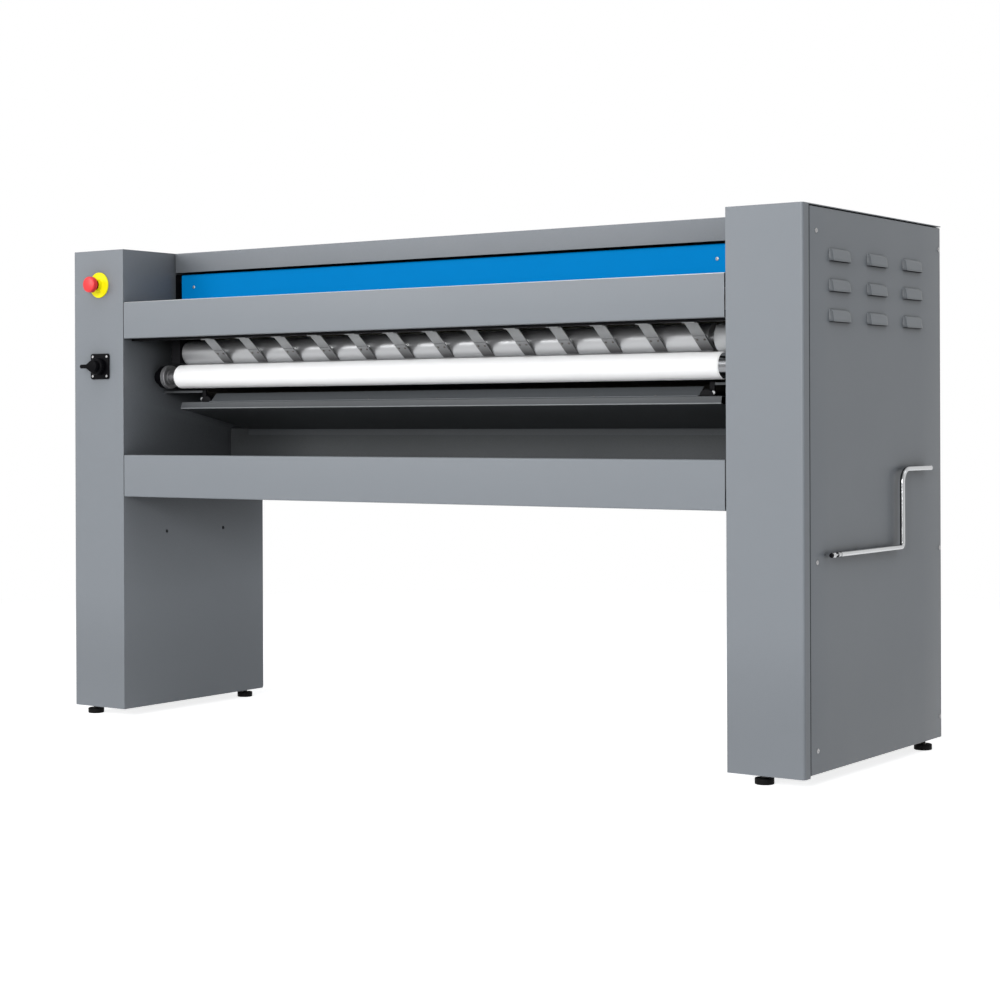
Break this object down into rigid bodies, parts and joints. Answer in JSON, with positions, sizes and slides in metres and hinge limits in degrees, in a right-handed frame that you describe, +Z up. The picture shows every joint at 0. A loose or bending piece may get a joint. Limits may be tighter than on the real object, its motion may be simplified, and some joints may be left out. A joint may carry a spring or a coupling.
{
  "type": "flatwork ironer",
  "caption": "Free-standing flatwork ironer: two grey columns carry a feed table, blue finger guard, padded roll with heated chest, delivery rollers and linen trough.",
  "frame": {"origin": "on the floor, below the middle of the machine's outline", "axes": "+X along the rolls to the drive column on the operator's right, +Y from the operator's side to the back, +Z up"},
  "size_m": [2.081, 0.716, 1.172],
  "materials": {
    "grey_paint": "satin textured powder coat",
    "inner_grey_paint": "satin powder coat",
    "blue_paint": "satin powder coat",
    "black_paint": "satin",
    "polished_steel": "polished",
    "bright_steel": "bright drawn",
    "sheet_steel": "galvanised sheet",
    "screw_steel": "zinc plated",
    "roller_cover": "white, smooth",
    "roll_padding": "needled felt",
    "insulation": "mineral wool under foil",
    "chest_alloy": "machined and polished inside",
    "cast_grey": "painted casting",
    "motor_blue": "painted casting",
    "dark_steel": "oiled",
    "black_plastic": "satin moulded",
    "red_plastic": "gloss moulded",
    "yellow_plastic": "satin moulded",
    "grey_plastic": "satin moulded",
    "foot_rubber": "matte"
  },
  "bodies": {
    "frame": {"left_column_shell": "grey_paint", "right_column_shell": "grey_paint", "left_top_cover": "grey_paint", "right_top_cover": "grey_paint", "right_rear_cover": "grey_paint", "rear_cover": "grey_paint", "left_side_panel": "grey_paint", "right_side_panel": "grey_paint", "panel_screws": "screw_steel", "feed_table": "grey_paint", "lower_front_beam": "grey_paint", "linen_trough": "inner_grey_paint", "hood": "grey_paint", "return_chute": "inner_grey_paint", "chute_ledge": "sheet_steel", "chute_brackets": "black_paint", "roll_bearings": "cast_grey", "heated_chest": "chest_alloy", "heating_elements": "bright_steel", "chest_insulation": "insulation", "chest_brackets": "black_paint", "linen_guide": "sheet_steel", "shaft_housing": "grey_plastic", "roller_end_plate": "black_paint", "roller_bearings": "black_plastic", "finger_bar": "black_paint", "stripper_arms": "sheet_steel", "stripper_tips": "grey_plastic", "small_screws": "screw_steel", "guard_rod": "bright_steel", "guard_switch": "black_plastic", "drive_chain": "dark_steel", "gearmotor": "motor_blue", "motor_bracket": "black_paint", "control_box": "sheet_steel", "cable_conduit": "grey_plastic", "estop_plate": "yellow_plastic", "estop_body": "black_plastic", "switch_plate": "black_plastic", "switch_body": "black_plastic", "crank_clips": "black_plastic"},
    "ironing_roll": {"roll_tube": "bright_steel", "roll_felt": "roll_padding", "roll_shaft": "bright_steel", "roll_sprocket": "dark_steel"},
    "delivery_roller_set": {"delivery_roller": "polished_steel", "delivery_sprocket": "dark_steel"},
    "press_roller_set": {"press_roller_cover": "roller_cover", "press_roller_core": "bright_steel"},
    "motor_output": {"motor_sprocket": "dark_steel"},
    "guard": {"finger_guard": "blue_paint", "guard_arms": "black_paint", "guard_screws": "screw_steel"},
    "estop_head": {"estop_button": "red_plastic"},
    "switch_lever": {"switch_handle": "black_plastic"},
    "crank": {"crank_handle": "polished_steel"},
    "left_front_foot": {"foot_left_front": "foot_rubber"},
    "left_rear_foot": {"foot_left_rear": "foot_rubber"},
    "right_front_foot": {"foot_right_front": "foot_rubber"},
    "right_rear_foot": {"foot_right_rear": "foot_rubber"}
  },
  "joints": [
    {"name": "ironing_roll_turn", "type": "hinge", "parent": "frame", "child": "ironing_roll", "pos_m": [0, 0.001, 0.955], "axis": [-1, 0, 0], "continuous": true},
    {"name": "delivery_roller_turn", "type": "hinge", "parent": "frame", "child": "delivery_roller_set", "pos_m": [0, -0.176, 0.913], "axis": [-1, 0, 0], "continuous": true},
    {"name": "press_roller_turn", "type": "hinge", "parent": "frame", "child": "press_roller_set", "pos_m": [0, -0.1895, 0.85372], "axis": [-1, 0, 0], "continuous": true},
    {"name": "motor_output_turn", "type": "hinge", "parent": "frame", "child": "motor_output", "pos_m": [0.8, 0.011, 0.6], "axis": [-1, 0, 0], "continuous": true},
    {"name": "guard_swing", "type": "hinge", "parent": "frame", "child": "guard", "pos_m": [0, -0.103, 1.105], "axis": [1, 0, 0], "range_deg": [0, 8], "stiffness_Nm_per_rad": 10, "springref_deg": -11.46},
    {"name": "estop_press", "type": "slide", "parent": "frame", "child": "estop_head", "axis": [0, 1, 0], "range_m": [0, 0.006], "stiffness_N_per_m": 2000, "springref_m": -0.002},
    {"name": "switch_turn", "type": "hinge", "parent": "frame", "child": "switch_lever", "pos_m": [-0.945, -0.327, 0.88], "axis": [0, 1, 0], "range_deg": [0, 90]},
    {"name": "crank_pull_off", "type": "slide", "parent": "frame", "child": "crank", "axis": [1, 0, 0], "range_m": [0, 0.08]},
    {"name": "left_front_foot_level", "type": "slide", "parent": "frame", "child": "left_front_foot", "axis": [0, 0, 1], "range_m": [-0.012, 0.009]},
    {"name": "left_rear_foot_level", "type": "slide", "parent": "frame", "child": "left_rear_foot", "axis": [0, 0, 1], "range_m": [-0.012, 0.009]},
    {"name": "right_front_foot_level", "type": "slide", "parent": "frame", "child": "right_front_foot", "axis": [0, 0, 1], "range_m": [-0.012, 0.009]},
    {"name": "right_rear_foot_level", "type": "slide", "parent": "frame", "child": "right_rear_foot", "axis": [0, 0, 1], "range_m": [-0.012, 0.009]}
  ],
  "couplings": [
    {"joint": "delivery_roller_turn", "follows": "ironing_roll_turn", "ratio": 4.0323},
    {"joint": "press_roller_turn", "follows": "ironing_roll_turn", "ratio": -4.2373},
    {"joint": "motor_output_turn", "follows": "ironing_roll_turn", "ratio": 2.8143}
  ]
}
